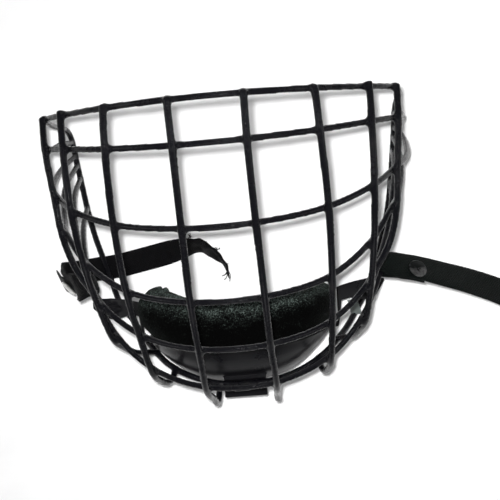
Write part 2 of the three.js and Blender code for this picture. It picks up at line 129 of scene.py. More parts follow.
def skin(bm, sections):
    """Adds a closed skin: the first section is a face, and it is extruded to each next section."""
    start = [bm.verts.new(p) for p in sections[0]]
    face = bm.faces.new(start)
    rings = [start]
    for section in sections[1:]:
        face = bmesh.ops.extrude_discrete_faces(bm, faces=[face])["faces"][0]
        for vert, point in zip(face.verts, section):
            vert.co = point
        rings.append(list(face.verts))
    bm.faces.new(list(reversed(start)))
    return rings


def run_wire(points, radius, sides=14, spacing=0.0018):
    """A round wire along a curve, with its section carried along without twisting."""
    line = smooth_line(points, spacing)
    ahead = [*line[1:], line[-1]]
    behind = [line[0], *line[:-1]]
    headings = [(a - b).normalized() for a, b in zip(ahead, behind)]
    turn = headings[0].to_track_quat("Z", "Y")
    ring = [turn @ Vector((math.cos(a), math.sin(a), 0)) * radius
            for a in (2 * math.pi * j / sides for j in range(sides))]
    sections = []
    for i, centre in enumerate(line):
        if i:
            bend = headings[i - 1].rotation_difference(headings[i])
            ring = [bend @ r for r in ring]
        sections.append([centre + r for r in ring])
    wire = bmesh.new()
    skin(wire, sections)
    return wire


def crossing(row, column):
    """Where a hoop and a bar of the right side cross."""
    hoop = hoops[row]
    return Vector((hoop["aside"][column], hoop["along"][column], hoop["up"][column]))


def outward(row, column):
    """The way out of the cage at a crossing, square to its bar and its hoop."""
    above = crossing(max(row - 1, 0), column)
    below = crossing(min(row + 1, bars[column]["hoops"] - 1), column)
    inner = crossing(row, column - 1) if column else crossing(row, 0) * Vector((-1, 1, 1))
    is_last = column + 1 == len(hoops[row]["aside"])
    outer = Vector(hoops[row]["cheek"]) if is_last else crossing(row, column + 1)
    return (outer - inner).cross(above - below).normalized()


def edge_at(along):
    """Where the edge wire of the right side passes a place along the face."""
    for a, b in zip(edge_route, edge_route[1:]):
        if b[1] <= along:
            return Vector(a).lerp(Vector(b), (a[1] - along) / (a[1] - b[1]))


def flipped(points):
    """The same points on the other side of the face."""
    return [Vector((-p[0], p[1], p[2])) for p in points]


wires = []
for row, hoop in enumerate(hoops):
    side = [crossing(row, c) - outward(row, c) * layer_shift for c in range(len(hoop["aside"]))]
    rear_end = edge_route[0] if hoop["rear"] is None else edge_at(hoop["rear"])
    side += [Vector(hoop["cheek"]), Vector(hoop["temple"]), Vector(rear_end)]
    whole_hoop = flipped(side)[::-1] + side
    wires.append(run_wire(placed(whole_hoop), hoop_radius / 1000))
chin_hoop = whole_hoop  # the last one, which holds the straps
for bar in bars:
    column = bar["column"]
    side = [crossing(row, column) + outward(row, column) * layer_shift for row in range(bar["hoops"])]
    side = [side[0] + (side[0] - side[1]).normalized() * bar["rise"], *side]
    side += [Vector(p) for p in bar["lower_end"]]
    wires.append(run_wire(placed(side), bar_radius / 1000))
    wires.append(run_wire(placed(flipped(side)), bar_radius / 1000))
edge_side = [Vector(p) for p in edge_route]
wires.append(run_wire(placed(edge_side + flipped(edge_side)[-2::-1]), edge_radius / 1000))

# Each weld is a bead of metal in the notch between its two wires. Three bars on each side end on
# the edge wire, and the fourth ends beside a crossing that has its bead already.
weld_radius = 2.15
beads = [crossing(row, bar["column"]) for bar in bars for row in range(bar["hoops"])]
beads += [edge_at(hoop["rear"]) for hoop in hoops if hoop["rear"] is not None]
beads += [Vector(bar["lower_end"][-1]) for bar in bars[:3]]
welds = bmesh.new()
for bead in placed(beads + flipped(beads)):
    bmesh.ops.create_icosphere(welds, subdivisions=2, radius=weld_radius / 1000,
                               matrix=Matrix.Translation(bead))


def joined(runs):
    """All the runs in one bmesh. The runs themselves are freed."""
    whole = bmesh.new()
    carrier = bpy.data.meshes.new("carrier")
    for run in runs:
        run.to_mesh(carrier)
        run.free()
        whole.from_mesh(carrier)
    bpy.data.meshes.remove(carrier)
    return whole


def new_piece(name, bm):
    """An object that holds the finished bmesh, which is freed."""
    mesh = bpy.data.meshes.new(name)
    bm.to_mesh(mesh)
    bm.free()
    piece = bpy.data.objects.new(name, mesh)
    bpy.context.collection.objects.link(piece)
    return piece


def set_shape(piece):
    """Gives the piece the mesh that its modifiers make, and takes them off."""
    shaped = bpy.data.meshes.new_from_object(piece.evaluated_get(bpy.context.evaluated_depsgraph_get()))
    piece.modifiers.clear()
    piece.data = shaped
    shaped.shade_smooth()


# The coating runs all the wires together in one skin. It is smoothed, and then it gets back the
# thickness that the smoothing took. The edge wire rests on the floor.
cage = new_piece("cage_wire", joined([*wires, welds]))
coating = cage.modifiers.new("coating", "REMESH")
coating.mode = "VOXEL"
coating.voxel_size = 0.00086
settle = cage.modifiers.new("settle", "SMOOTH")
settle.factor = 0.5
settle.iterations = 12
refill = cage.modifiers.new("refill", "DISPLACE")
refill.strength = 0.00031
refill.mid_level = 0
set_shape(cage)
for vert in cage.data.vertices:
    vert.co.z = max(vert.co.z, 0)


def add(material, kind, inputs=None, **settings):
    """A node of the material. Each input is a value, or the output that feeds it."""
    made = material.node_tree.nodes.new(kind)
    for key, value in settings.items():
        setattr(made, key, value)
    for key, value in (inputs or {}).items():
        if isinstance(value, bpy.types.NodeSocket):
            material.node_tree.links.new(value, made.inputs[key])
        else:
            made.inputs[key].default_value = value
    return made


def new_finish(name, colour, roughness, **shader_values):
    """A material with the constant values on its own shader."""
    material = bpy.data.materials.new(name)
    material.use_nodes = True
    shader = material.node_tree.nodes["Principled BSDF"]
    shader.inputs["Base Color"].default_value = (*colour, 1)
    shader.inputs["Roughness"].default_value = roughness
    for key, value in shader_values.items():
        shader.inputs[key.replace("_", " ")].default_value = value
    return material, shader


def feed(material, output, shader, name):
    """Joins a node's output to a socket of the shader."""
    material.node_tree.links.new(output, shader.inputs[name])


def ramp(material, source, stops):
    """A colour ramp of (place, colour) stops over a value."""
    made = add(material, "ShaderNodeValToRGB", {"Fac": source})
    while len(made.color_ramp.elements) < len(stops):
        made.color_ramp.elements.new(0.5)
    for element, (place, colour) in zip(made.color_ramp.elements, stops):
        element.position = place
        element.color = (*colour, 1) if len(colour) == 3 else colour
    return made.outputs["Color"]


def spread(material, source, low, high, out_low, out_high):
    """A value range carried over to another range."""
    made = add(material, "ShaderNodeMapRange", {
        "Value": source, "From Min": low, "From Max": high, "To Min": out_low, "To Max": out_high})
    return made.outputs["Result"]


wire_coat, shader = new_finish("black_wire_coating", (0.003, 0.003, 0.004), 0.25, Specular_IOR_Level=0.2)
where = add(wire_coat, "ShaderNodeTexCoord").outputs["Object"]
flow = add(wire_coat, "ShaderNodeTexNoise", {"Vector": where, "Scale": 160, "Detail": 2})
peel = add(wire_coat, "ShaderNodeTexNoise", {"Vector": where, "Scale": 900, "Detail": 2})
scuff = add(wire_coat, "ShaderNodeTexNoise", {"Vector": where, "Scale": 70, "Detail": 8, "Roughness": 0.7})
feed(wire_coat, ramp(wire_coat, scuff.outputs["Fac"], [
    (0.0, (0.002, 0.002, 0.003)), (0.58, (0.003, 0.003, 0.004)), (0.74, (0.012, 0.012, 0.012))]),
    shader, "Base Color")
feed(wire_coat, spread(wire_coat, scuff.outputs["Fac"], 0.3, 0.75, 0.16, 0.4), shader, "Roughness")
dips = add(wire_coat, "ShaderNodeBump", {
    "Height": flow.outputs["Fac"], "Strength": 0.12, "Distance": 0.0006})
grain = add(wire_coat, "ShaderNodeBump", {
    "Height": peel.outputs["Fac"], "Strength": 0.12, "Distance": 0.0002, "Normal": dips.outputs["Normal"]})
feed(wire_coat, grain.outputs["Normal"], shader, "Normal")
cage.data.materials.append(wire_coat)
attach(cage, "root")
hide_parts("wire_cage")


# ---------------------------------------------------------------- chin cup
# One moulding of glossy black plastic: a curved wall in front of the chin with a rolled lip, two
# arms that reach out over the edge wire, each with a slotted eyelet, and a tongue that hooks
# round the edge wire under the chin.
shell_squareness = 3.3
cup_aside = -3
shell_thick = 2
shell_slices = 120
end_lift = 1.8
shell_lines = [
    {"name": "lip", "aside": 59, "front": 62, "back": 13, "mid": -57, "end": -49},
    {"name": "face", "aside": 58.5, "front": 55, "back": 12, "mid": -66, "end": -51},
    {"name": "low", "aside": 56, "front": 45, "back": 12, "mid": -75, "end": -54},
    {"name": "keel", "aside": 52, "front": 35, "back": 13, "mid": -81, "end": -56.5},
]
line_keys = ("aside", "front", "back", "mid", "end")


def round_chin(line, turn, squareness=3):
    """The point of a line at one place round the chin."""
    def squared(v):
        return math.copysign(abs(v) ** (2 / squareness), v)
    lift = abs(math.sin(turn)) ** end_lift
    return Vector((
        cup_aside + line["aside"] * squared(math.sin(turn)),
        line["mid"] + (line["end"] - line["mid"]) * lift,
        line["back"] + (line["front"] - line["back"]) * squared(max(math.cos(turn), 0)),
    ))


def chin_turns(count):
    """Even turns round the chin, from its left end to its right end."""
    return [(i / count - 0.5) * math.pi for i in range(count + 1)]


def eased(values, t, closed=False):
    """A smooth value through the list's values at place t."""
    last = len(values) - 1
    k = math.floor(t) if closed else min(math.floor(t), last - 1)
    f = t - k
    pick = (lambda i: values[i % len(values)]) if closed else (lambda i: values[min(max(i, 0), last)])
    a, b, c, d = pick(k - 1), pick(k), pick(k + 1), pick(k + 2)
    return b + 0.5 * f * (c - a + f * (2 * a - 5 * b + 4 * c - d + f * (3 * (b - c) + d - a)))


def line_between(lines, t, closed=False):
    """The line at place t of a table of lines."""
    return {key: eased([line[key] for line in lines], t, closed) for key in line_keys}


lip = {"roll": 0.7, "reach": 0.06, "tuck": 0.75, "inner_shift": 0.4}


def shell_section(turn):
    """The wall from lip to keel at one place round the chin, thicker at its rolled edges."""
    steps = 16
    outer, inner = [], []
    for i in range(steps + 1):
        line = line_between(shell_lines, (len(shell_lines) - 1) * i / steps)
        from_edge = min(i, steps - i) / steps
        roll = lip["roll"] * math.exp(-(from_edge / lip["reach"]) ** 2)
        tuck = lip["tuck"] if i in (0, steps) else 0
        grown = {**line, "aside": line["aside"] + roll - tuck, "front": line["front"] + roll - tuck}
        shrunk = {**line, "aside": line["aside"] - shell_thick + tuck,
                  "front": line["front"] - shell_thick + tuck, "mid": line["mid"] + lip["inner_shift"]}
        outer.append(round_chin(grown, turn, shell_squareness))
        inner.append(round_chin(shrunk, turn, shell_squareness))
    return outer + inner[::-1]


cup = bmesh.new()
skin(cup, [placed(shell_section(turn)) for turn in chin_turns(shell_slices)])

arm_thick = 2.6
arm_sections = [
    {"aside": 57.8, "up": 27, "top": -49.8, "foot": -53.2},
    {"aside": 61.9, "up": 27, "top": -49.2, "foot": -52.4},
    {"aside": 62.4, "up": 27, "top": -27.8, "foot": -51},
    {"aside": 63.6, "up": 26.6, "top": -27.4, "foot": -46},
    {"aside": 65, "up": 25.6, "top": -27, "foot": -36.4},
    {"aside": 71, "up": 21.4, "top": -25.8, "foot": -35.6},
    {"aside": 78, "up": 17.2, "top": -24.8, "foot": -37.4},
    {"aside": 85, "up": 14.2, "top": -24, "foot": -38},
]
left_tip = [
    {"aside": 91, "up": 13.6, "top": -24, "foot": -36},
    {"aside": 97, "up": 14.2, "top": -25.6, "foot": -30},
]
right_tip = [
    {"aside": 88.6, "up": 13.6, "top": -24.2, "foot": -35},
    {"aside": 94, "up": 14, "top": -25, "foot": -26.6},
]
eyelet = {"aside": 82, "along": -31.2, "up": 15.6, "long": 5, "wide": 2.4, "rim": 2, "rise": 0.9}


def eyelet_cylinder(bm, side, rim, shift, deep):
    """Adds an upright oval cylinder at an arm's eyelet, with its middle shifted up."""
    centre = placed([(cup_aside + side * eyelet["aside"], eyelet["along"], eyelet["up"])])[0]
    spot = Matrix.Translation(centre + Vector((0, 0, shift / 1000)))
    stretch = Matrix.Diagonal((eyelet["long"] + rim, eyelet["wide"] + rim, 1, 1))
    bmesh.ops.create_cone(bm, cap_ends=True, segments=40, radius1=1 / 1000, radius2=1 / 1000,
                          depth=deep / 1000, matrix=spot @ stretch)


for side, tip in ((1, right_tip), (-1, left_tip)):
    arm_rings = []
    for section in arm_sections + tip:
        aside = cup_aside + side * section["aside"]
        front, back = section["up"] + arm_thick / 2, section["up"] - arm_thick / 2
        corners = [("top", front), ("foot", front), ("foot", back), ("top", back)]
        arm_rings.append(placed([(aside, section[edge], up) for edge, up in corners]))
    skin(cup, arm_rings)
    eyelet_cylinder(cup, side, eyelet["rim"], eyelet["rise"], arm_thick)

# The tongue is part of a ring round the edge wire, between two shares of a half turn.
tongue = {"from": -15, "to": 11.5, "wall": 5.1, "clearance": 0.95, "root": 0.52, "tip": 1.48}
tongue_bore = edge_radius + tongue["clearance"]
tongue_steps = 24
wire_mid = edge_route[-1]
hook = []
for i in range(tongue_steps + 1):
    turn = math.pi * (tongue["root"] + (tongue["tip"] - tongue["root"]) * i / tongue_steps)
    hook.append((turn, tongue_bore + tongue["wall"]))
hook += [(turn, tongue_bore) for turn, _ in reversed(hook)]
tongue_ends = []
for aside in (tongue["from"], tongue["to"]):
    ring = [(aside, wire_mid[1] + math.sin(turn) * r, wire_mid[2] + math.cos(turn) * r) for turn, r in hook]
    tongue_ends.append(placed(ring))
skin(cup, tongue_ends)
bmesh.ops.recalc_face_normals(cup, faces=cup.faces)
chin_cup = new_piece("cup_moulding", cup)

# The eyelets are blind slots, cut from the middle of the arms out through the front.
slot_deep = 20
cutters = bmesh.new()
for side in (1, -1):
    eyelet_cylinder(cutters, side, 0, slot_deep / 2, slot_deep)
bmesh.ops.recalc_face_normals(cutters, faces=cutters.faces)
cutter = new_piece("slots", cutters)
fuse = chin_cup.modifiers.new("fuse", "REMESH")
fuse.mode = "VOXEL"
fuse.voxel_size = 0.00045
cut = chin_cup.modifiers.new("cut", "BOOLEAN")
cut.operation = "DIFFERENCE"
cut.object = cutter
soften = chin_cup.modifiers.new("soften", "SMOOTH")
soften.factor = 0.5
soften.iterations = 5
set_shape(chin_cup)
bpy.data.objects.remove(cutter)

cup_gloss, shader = new_finish("black_moulded_plastic", (0.003, 0.003, 0.004), 0.3,
                               Specular_IOR_Level=0.17)
where = add(cup_gloss, "ShaderNodeTexCoord").outputs["Object"]
haze = add(cup_gloss, "ShaderNodeTexNoise", {"Vector": where, "Scale": 45, "Detail": 6, "Roughness": 0.65})
scratches = add(cup_gloss, "ShaderNodeTexNoise", {
    "Vector": where, "Scale": 380, "Detail": 2, "Distortion": 1.5})
feed(cup_gloss, spread(cup_gloss, haze.outputs["Fac"], 0.35, 0.7, 0.24, 0.42), shader, "Roughness")
feed(cup_gloss, ramp(cup_gloss, haze.outputs["Fac"], [
    (0.3, (0.003, 0.003, 0.004)), (0.6, (0.006, 0.006, 0.007)), (0.78, (0.015, 0.015, 0.016))]),
    shader, "Base Color")
marks = add(cup_gloss, "ShaderNodeBump", {
    "Height": scratches.outputs["Fac"], "Strength": 0.06, "Distance": 0.0002})
feed(cup_gloss, marks.outputs["Normal"], shader, "Normal")
chin_cup.data.materials.append(cup_gloss)
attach(chin_cup, "root")
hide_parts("chin_cup")


# ---------------------------------------------------------------- chin pad
# A thick foam pad under dark grey-green cloth, pressed into the cup. Its front swells out
# over the cup's lip, and the cloth is worn to a nap, with a small torn nick at one end. Its
# colour has painted light along the top and painted shade down the front.
pad_lines = [
    {"name": "front top", "aside": 61, "front": 57, "back": 16, "mid": -31.5, "end": -23},
    {"name": "front middle", "aside": 61.5, "front": 60.5, "back": 15, "mid": -42, "end": -32},
    {"name": "front foot", "aside": 56.9, "front": 59.9, "back": 14, "mid": -56.1, "end": -48.5},
    {"name": "low", "aside": 53.7, "front": 42.6, "back": 14, "mid": -73.9, "end": -53},
    {"name": "rear foot", "aside": 42, "front": 33, "back": 14, "mid": -68, "end": -50},
    {"name": "rear middle", "aside": 44, "front": 44, "back": 14, "mid": -52, "end": -40},
    {"name": "rear top", "aside": 47, "front": 46, "back": 15, "mid": -33.5, "end": -20},
    {"name": "crown", "aside": 55, "front": 52, "back": 16, "mid": -29.5, "end": -18.5},
]
pad_slices = 110
around = 56
round_end = {"slices": 3, "pinch": 0.5}
pad = bmesh.new()
pad_skins = []
for i, turn in enumerate(chin_turns(pad_slices)):
    lines = [line_between(pad_lines, len(pad_lines) * j / around, closed=True) for j in range(around)]
    ring = placed([round_chin(line, turn) for line in lines])
    middle = sum(ring, Vector()) / around
    from_end = min(i, pad_slices - i)
    close = 1 - round_end["pinch"] * max(0, 1 - from_end / round_end["slices"]) ** 2
    pad_skins.append([middle.lerp(p, close) for p in ring])
skin(pad, pad_skins)
bmesh.ops.recalc_face_normals(pad, faces=pad.faces)
chin_pad = new_piece("pad_cloth", pad)
even = chin_pad.modifiers.new("even", "REMESH")
even.mode = "VOXEL"
even.voxel_size = 0.0006
rub = chin_pad.modifiers.new("rub", "SMOOTH")
rub.factor = 0.5
rub.iterations = 4
set_shape(chin_pad)


def smooth_step(value, low, high):
    """0 below the low value and 1 above the high one, with a smooth change between."""
    share = min(max((value - low) / (high - low), 0), 1)
    return share * share * (3 - 2 * share)


# The foam is lumpy. Its crest is spread and filled on the left, and has sagged on the right. Places
# are in millimetres, as (from, to) along a smooth change, and what is moved is in metres.
lump = {"scale": 110, "height": 0.0005}
nap = {"scale": 900, "height": 0.00018}
pressed_in = 0.0005
crest_rise = (-46, -34)
left_spread = {"aside": (36, 60), "up": (32, 44), "along": (-54, -40), "amount": 0.0055}
left_fill = {"aside": (20, 34), "until": (42, 54), "amount": 0.0022}
right_sag = {"aside": (22, 46), "amount": 0.0055}
nick = {"aside": -50.5, "flap_aside": -47.6, "wide": 1.3, "along": (-30, -24), "depth": 0.0017,
        "rise": 0.0014}
resting = [(vert.co.copy(), vert.normal.copy()) for vert in chin_pad.data.vertices]
for vert, (spot, out) in zip(chin_pad.data.vertices, resting):
    lumps = noise.noise(spot * lump["scale"]) * lump["height"]
    fuzz = noise.noise(spot * nap["scale"]) * nap["height"]
    aside, along, up = (spot - drawing_origin) * 1000
    spread_left = (smooth_step(-aside, *left_spread["aside"]) * smooth_step(up, *left_spread["up"])
                   * smooth_step(along, *left_spread["along"]) * left_spread["amount"])
    crest = smooth_step(along, *crest_rise)
    sag_right = smooth_step(aside, *right_sag["aside"]) * crest * right_sag["amount"]
    fill_left = (smooth_step(-aside, *left_fill["aside"]) * (1 - smooth_step(-aside, *left_fill["until"]))
                 * crest * left_fill["amount"])
    torn = smooth_step(along, *nick["along"])
    tear = math.exp(-((aside - nick["aside"]) / nick["wide"]) ** 2) * torn
    flap = math.exp(-((aside - nick["flap_aside"]) / nick["wide"]) ** 2) * torn
    lumps += flap * nick["rise"] - tear * nick["depth"]
    vert.co = spot + out * (lumps + fuzz - pressed_in) + Vector((-spread_left, fill_left - sag_right, 0))


def reckon(material, operation, *values):
    """The result of a sum on values or on outputs of other nodes."""
    made = add(material, "ShaderNodeMath", dict(enumerate(values)), operation=operation)
    return made.outputs["Value"]


# Painted light and shade: the cloth is painted paler on the forehead side of a line that bows
# round the chin, where the top of the pad faces the light, and darker on the chin side, where its
# front turns down into shade.
painted_light_middle = placed([(cup_aside, -40.5, 0)])[0]
painted_light_bend = 3.4
pad_cloth, shader = new_finish("pad_cloth_painted_light", (0.01, 0.012, 0.011), 0.95, Specular_IOR_Level=0.05,
                               Sheen_Weight=0.03, Sheen_Roughness=0.4, Sheen_Tint=(0.5, 0.6, 0.55, 1))
where = add(pad_cloth, "ShaderNodeTexCoord").outputs["Object"]
fluff = add(pad_cloth, "ShaderNodeTexNoise", {
    "Vector": where, "Scale": 1100, "Detail": 3, "Roughness": 0.7})
wear = add(pad_cloth, "ShaderNodeTexNoise", {"Vector": where, "Scale": 120, "Detail": 4})
place = add(pad_cloth, "ShaderNodeSeparateXYZ", {"Vector": where})
off_middle = reckon(pad_cloth, "SUBTRACT", place.outputs["X"], painted_light_middle.x)
bow = reckon(pad_cloth, "POWER", off_middle, 2)
past_line = reckon(pad_cloth, "MULTIPLY_ADD", bow, -painted_light_bend, place.outputs["Y"])
# Painted shade below the bowed line and painted light above it, added to the random wear patches.
painted_light_and_shade = spread(pad_cloth, past_line, painted_light_middle.y - 0.006, painted_light_middle.y + 0.005, -0.24, 0.02)
patches = spread(pad_cloth, wear.outputs["Fac"], 0.3, 0.7, -0.06, 0.06)
wear_and_painted_light = reckon(pad_cloth, "ADD", patches, painted_light_and_shade)
blend = reckon(pad_cloth, "ADD", fluff.outputs["Fac"], wear_and_painted_light)
feed(pad_cloth, ramp(pad_cloth, blend, [
    (0.38, (0.001, 0.001, 0.001)), (0.53, (0.015, 0.019, 0.017)), (0.66, (0.085, 0.108, 0.098))]),
    shader, "Base Color")
pile = add(pad_cloth, "ShaderNodeBump", {
    "Height": fluff.outputs["Fac"], "Strength": 0.9, "Distance": 0.0008})
feed(pad_cloth, pile.outputs["Normal"], shader, "Normal")
chin_pad.data.materials.append(pad_cloth)
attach(chin_pad, "root")
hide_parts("chin_pad")


# ---------------------------------------------------------------- clear clip
# A small clip of clear plastic that ties the right arm to the edge wire. Its solid is already the
# right shape, so it only gets its finish.
clip_plastic, shader = new_finish("clear_clip_plastic", (0.16, 0.19, 0.18), 0.3, Transmission_Weight=0.55,
                                  IOR=1.46)
where = add(clip_plastic, "ShaderNodeTexCoord").outputs["Object"]
cloud = add(clip_plastic, "ShaderNodeTexNoise", {"Vector": where, "Scale": 300, "Detail": 4})
feed(clip_plastic, spread(clip_plastic, cloud.outputs["Fac"], 0.3, 0.7, 0.2, 0.5), shader, "Roughness")
nodes["arm_clip"].data.materials.clear()
nodes["arm_clip"].data.materials.append(clip_plastic)


# ---------------------------------------------------------------- chin straps
# Two ends of 16 mm woven nylon webbing. Each holds the chin hoop in a loop that a snap closes.
# The right one stands out from the cage; the left one drops to the floor and folds back under
# the edge wire, and its torn end lies twisted and frayed inside the cage.
strap_width = 16
strap_thick = 1.5


def station(middle, across, share=1.0):
    """A place on a strap's route, the way across it there, and its share of the full width."""
    return {"middle": Vector(middle), "across": Vector(across), "share": share}


def spline(points, t):
    """A smooth centripetal curve through points, at a share t of its stations.

    Where two points are the same, the spacing of the middle pair stands in for theirs.
    """
    reach = t * (len(points) - 1)
    k = min(int(reach), len(points) - 2)
    b, c = points[k], points[k + 1]
    a = points[k - 1] if k else 2 * b - c
    d = points[k + 2] if k + 2 < len(points) else 2 * c - b
    step = max((c - b).length, 1e-6) ** 0.5
    before = (b - a).length ** 0.5
    after = (d - c).length ** 0.5
    before = step if before < 1e-4 else before
    after = step if after < 1e-4 else after
    t1 = ((b - a) / before - (c - a) / (before + step) + (c - b) / step) * step
    t2 = ((c - b) / step - (d - b) / (step + after) + (d - c) / after) * step
    f = reach - k
    return (b + f * t1 + f * f * (3 * (c - b) - 2 * t1 - t2)
            + f * f * f * (2 * (b - c) + t1 + t2))


def hoop_frame(side, along):
    """The chin hoop's place, its direction, the way out from the face, and up."""
    halvings = 24
    nudge = 0.001
    low, high = 0.5, 1.0
    for _ in range(halvings):
        middle = (low + high) / 2
        if spline(chin_hoop, middle).y < along:
            low = middle
        else:
            high = middle
    way = (spline(chin_hoop, low + nudge) - spline(chin_hoop, low - nudge)).normalized()
    out = way.cross(Vector((0, 0, 1))).normalized()
    mirror = Vector((side, 1, 1))
    return {"centre": spline(chin_hoop, low) * mirror, "way": way * mirror,
            "out": out * mirror, "up": out.cross(way) * mirror}


loop_fold = {"share": 0.72, "clearance": 0.6, "steps": 6}


def fold_arc(at_hoop, start, end):
    """The stations of a loop round the chin hoop, between two angles in degrees."""
    radius = hoop_radius + loop_fold["clearance"] + strap_thick / 2
    loop = []
    for i in range(loop_fold["steps"] + 1):
        turn = math.radians(start + (end - start) * i / loop_fold["steps"])
        reach = at_hoop["out"] * math.cos(turn) + at_hoop["up"] * math.sin(turn)
        loop.append(station(at_hoop["centre"] + reach * radius, at_hoop["way"], loop_fold["share"]))
    return loop


ribbon = {"per_station": 8, "across": 12, "selvedge": 0.75, "corner": 6, "lowest": 0.01}


def webbing(name, stations):
    """A ribbon of webbing with rounded selvedges, and a UV map in metres along and across it."""
    middles = [s["middle"] for s in stations]
    acrosses = [s["across"] for s in stations]
    shares = [Vector((i, s["share"], 0)) for i, s in enumerate(stations)]
    count = (len(stations) - 1) * ribbon["per_station"]
    nudge = 0.002
    profile = []
    for j in range(ribbon["across"] + 1):
        c = 1 - 2 * j / ribbon["across"]
        profile.append((c, 0.5 * (1 - abs(c) ** ribbon["corner"] * ribbon["selvedge"])))
    profile += [(c, -t) for c, t in reversed(profile)]
    bm = bmesh.new()
    rings, marks, travelled, last = [], [], 0, None
    for i in range(count + 1):
        t = i / count
        middle = spline(middles, t)
        ahead = spline(middles, min(t + nudge, 1)) - spline(middles, max(t - nudge, 0))
        forward = ahead.normalized()
        half = spline(acrosses, t)
        half = (half - forward * half.dot(forward)).normalized()
        thick = forward.cross(half).normalized()
        if last is not None:
            travelled += (middle - last).length
        last = middle
        width = strap_width * spline(shares, t).y / 2
        ring = []
        for c, rise in profile:
            point = middle + half * width * c + thick * (rise * strap_thick)
            point.z = max(point.z, ribbon["lowest"])
            ring.append(point)
        rings.append(placed(ring))
        marks.append([(travelled / 1000, c * width / 1000) for c, _ in profile])
    made = skin(bm, rings)
    uv = bm.loops.layers.uv.new("weave")
    place_of = {vert: mark for ring, row in zip(made, marks) for vert, mark in zip(ring, row)}
    bm.normal_update()
    for face in bm.faces:
        for loop in face.loops:
            loop[uv].uv = place_of[loop.vert]
    bmesh.ops.recalc_face_normals(bm, faces=bm.faces)
    strap = new_piece(name, bm)
    strap.data.shade_smooth()
    return strap


def row_station(row):
    """The station that a row of a strap's table gives."""
    return station((row["aside"], row["along"], row["up"]), row["across"], row.get("share", 1))


layer_gap = 0.5
layer_spacing = strap_thick + layer_gap


def layer_under(upper):
    """The layer under the given one, without its first station and in the opposite order."""
    lower = []
    for before, here in zip(upper, upper[1:]):
        below = (here["middle"] - before["middle"]).normalized().cross(here["across"]).normalized()
        below = -below if below.z > 0 else below
        lower.insert(0, station(here["middle"] + below * layer_spacing, here["across"], here["share"]))
    return lower


right_upper = [row_station(row) for row in [
    {"aside": 90, "along": -14.8, "up": 69.4, "across": (0.28, 0.81, -0.52)},
    {"aside": 95.2, "along": -15.7, "up": 69, "across": (0.25, 0.79, -0.55)},
    {"aside": 99.7, "along": -16.7, "up": 68.4, "across": (0.22, 0.78, -0.58)},
    {"aside": 104.7, "along": -18, "up": 67.2, "across": (0.22, 0.78, -0.58)},
    {"aside": 109.7, "along": -19.6, "up": 65.6, "across": (0.22, 0.78, -0.58)},
    {"aside": 114.4, "along": -21.2, "up": 63.6, "across": (0.24, 0.79, -0.56)},
    {"aside": 124.2, "along": -24.6, "up": 59, "across": (0.26, 0.8, -0.54)},
    {"aside": 135, "along": -28.4, "up": 53.2, "across": (0.29, 0.83, -0.48)},
    {"aside": 149.4, "along": -34.2, "up": 44.6, "across": (0.34, 0.87, -0.36)},
    {"aside": 157.6, "along": -37.9, "up": 39.4, "across": (0.37, 0.89, -0.3)},
    {"aside": 167.3, "along": -42.6, "up": 33, "across": (0.38, 0.89, -0.28)},
]]
right_snap_row = 3
right_lower = layer_under(right_upper[:right_snap_row + 2])
right_strap = webbing("right_webbing", [
    *right_lower, *fold_arc(hoop_frame(1, along=-15.4), start=-75, end=-285), *right_upper])

left_upper = [row_station(row) for row in [
    {"aside": -111.2, "along": -9.3, "up": 42, "across": (0.05, 0.66, 0.75)},
    {"aside": -107, "along": -11.2, "up": 48, "across": (-0.28, 0.72, 0.58)},
    {"aside": -102.2, "along": -12.8, "up": 54, "across": (-0.55, 0.77, 0.31)},
    {"aside": -98.2, "along": -13.1, "up": 60.5, "across": (-0.42, 0.9, 0.12)},
    {"aside": -94.8, "along": -13.9, "up": 66.8, "across": (-0.32, 0.9, -0.3)},
    {"aside": -90.2, "along": -13.5, "up": 70, "across": (-0.32, 0.8, -0.5)},
]]
left_snap_row = 2
fold_down = [row_station(row) for row in [
    {"aside": -108.4, "along": -8.4, "up": 38, "across": (-0.35, 0.85, 0.4)},
    {"aside": -113.6, "along": -6.6, "up": 26, "across": (-0.2, 0.95, 0.2), "share": 0.98},
    {"aside": -117.8, "along": -5.4, "up": 14, "across": (-0.05, 1, 0.08), "share": 0.95},
    {"aside": -118.9, "along": -5.2, "up": 6.4, "across": (0, 1, 0), "share": 0.94},
    {"aside": -116.4, "along": -5.4, "up": 1.7, "across": (0, 1, 0), "share": 0.96},
    {"aside": -109.4, "along": -5.2, "up": 0.75, "across": (0, 1, 0), "share": 0.98},
    {"aside": -98, "along": -4.3, "up": 0.75, "across": (0.03, 1, 0)},
    {"aside": -86, "along": -3.5, "up": 0.75, "across": (0.02, 1, 0)},
    {"aside": -70, "along": -0.9, "up": 0.75, "across": (-0.13, 1, 0)},
    {"aside": -54, "along": 2, "up": 1.3, "across": (-0.17, 1, 0.05)},
    {"aside": -42, "along": 4.4, "up": 3.8, "across": (-0.15, 0.9, 0.42), "share": 0.96},
    {"aside": -33, "along": 6, "up": 6, "across": (0, 0.7, 0.72), "share": 0.92},
    {"aside": -26.5, "along": 5, "up": 6.5, "across": (0.2, 0.6, 0.78), "share": 0.86},
    {"aside": -20.5, "along": 1.6, "up": 6, "across": (0.45, 0.4, 0.8), "share": 0.76},
    {"aside": -15.6, "along": -3.2, "up": 4.6, "across": (0.6, 0.25, 0.76), "share": 0.56},
    {"aside": -12, "along": -8, "up": 2.8, "across": (0.8, 0.1, 0.6), "share": 0.34},
    {"aside": -10.6, "along": -13, "up": 1.4, "across": (1, 0, 0.2), "share": 0.14},
]]
left_lower = layer_under(left_upper[:-1])
left_strap = webbing("left_webbing", [
    *left_upper, *fold_arc(hoop_frame(-1, along=-13), start=80, end=312), *left_lower, *fold_down])

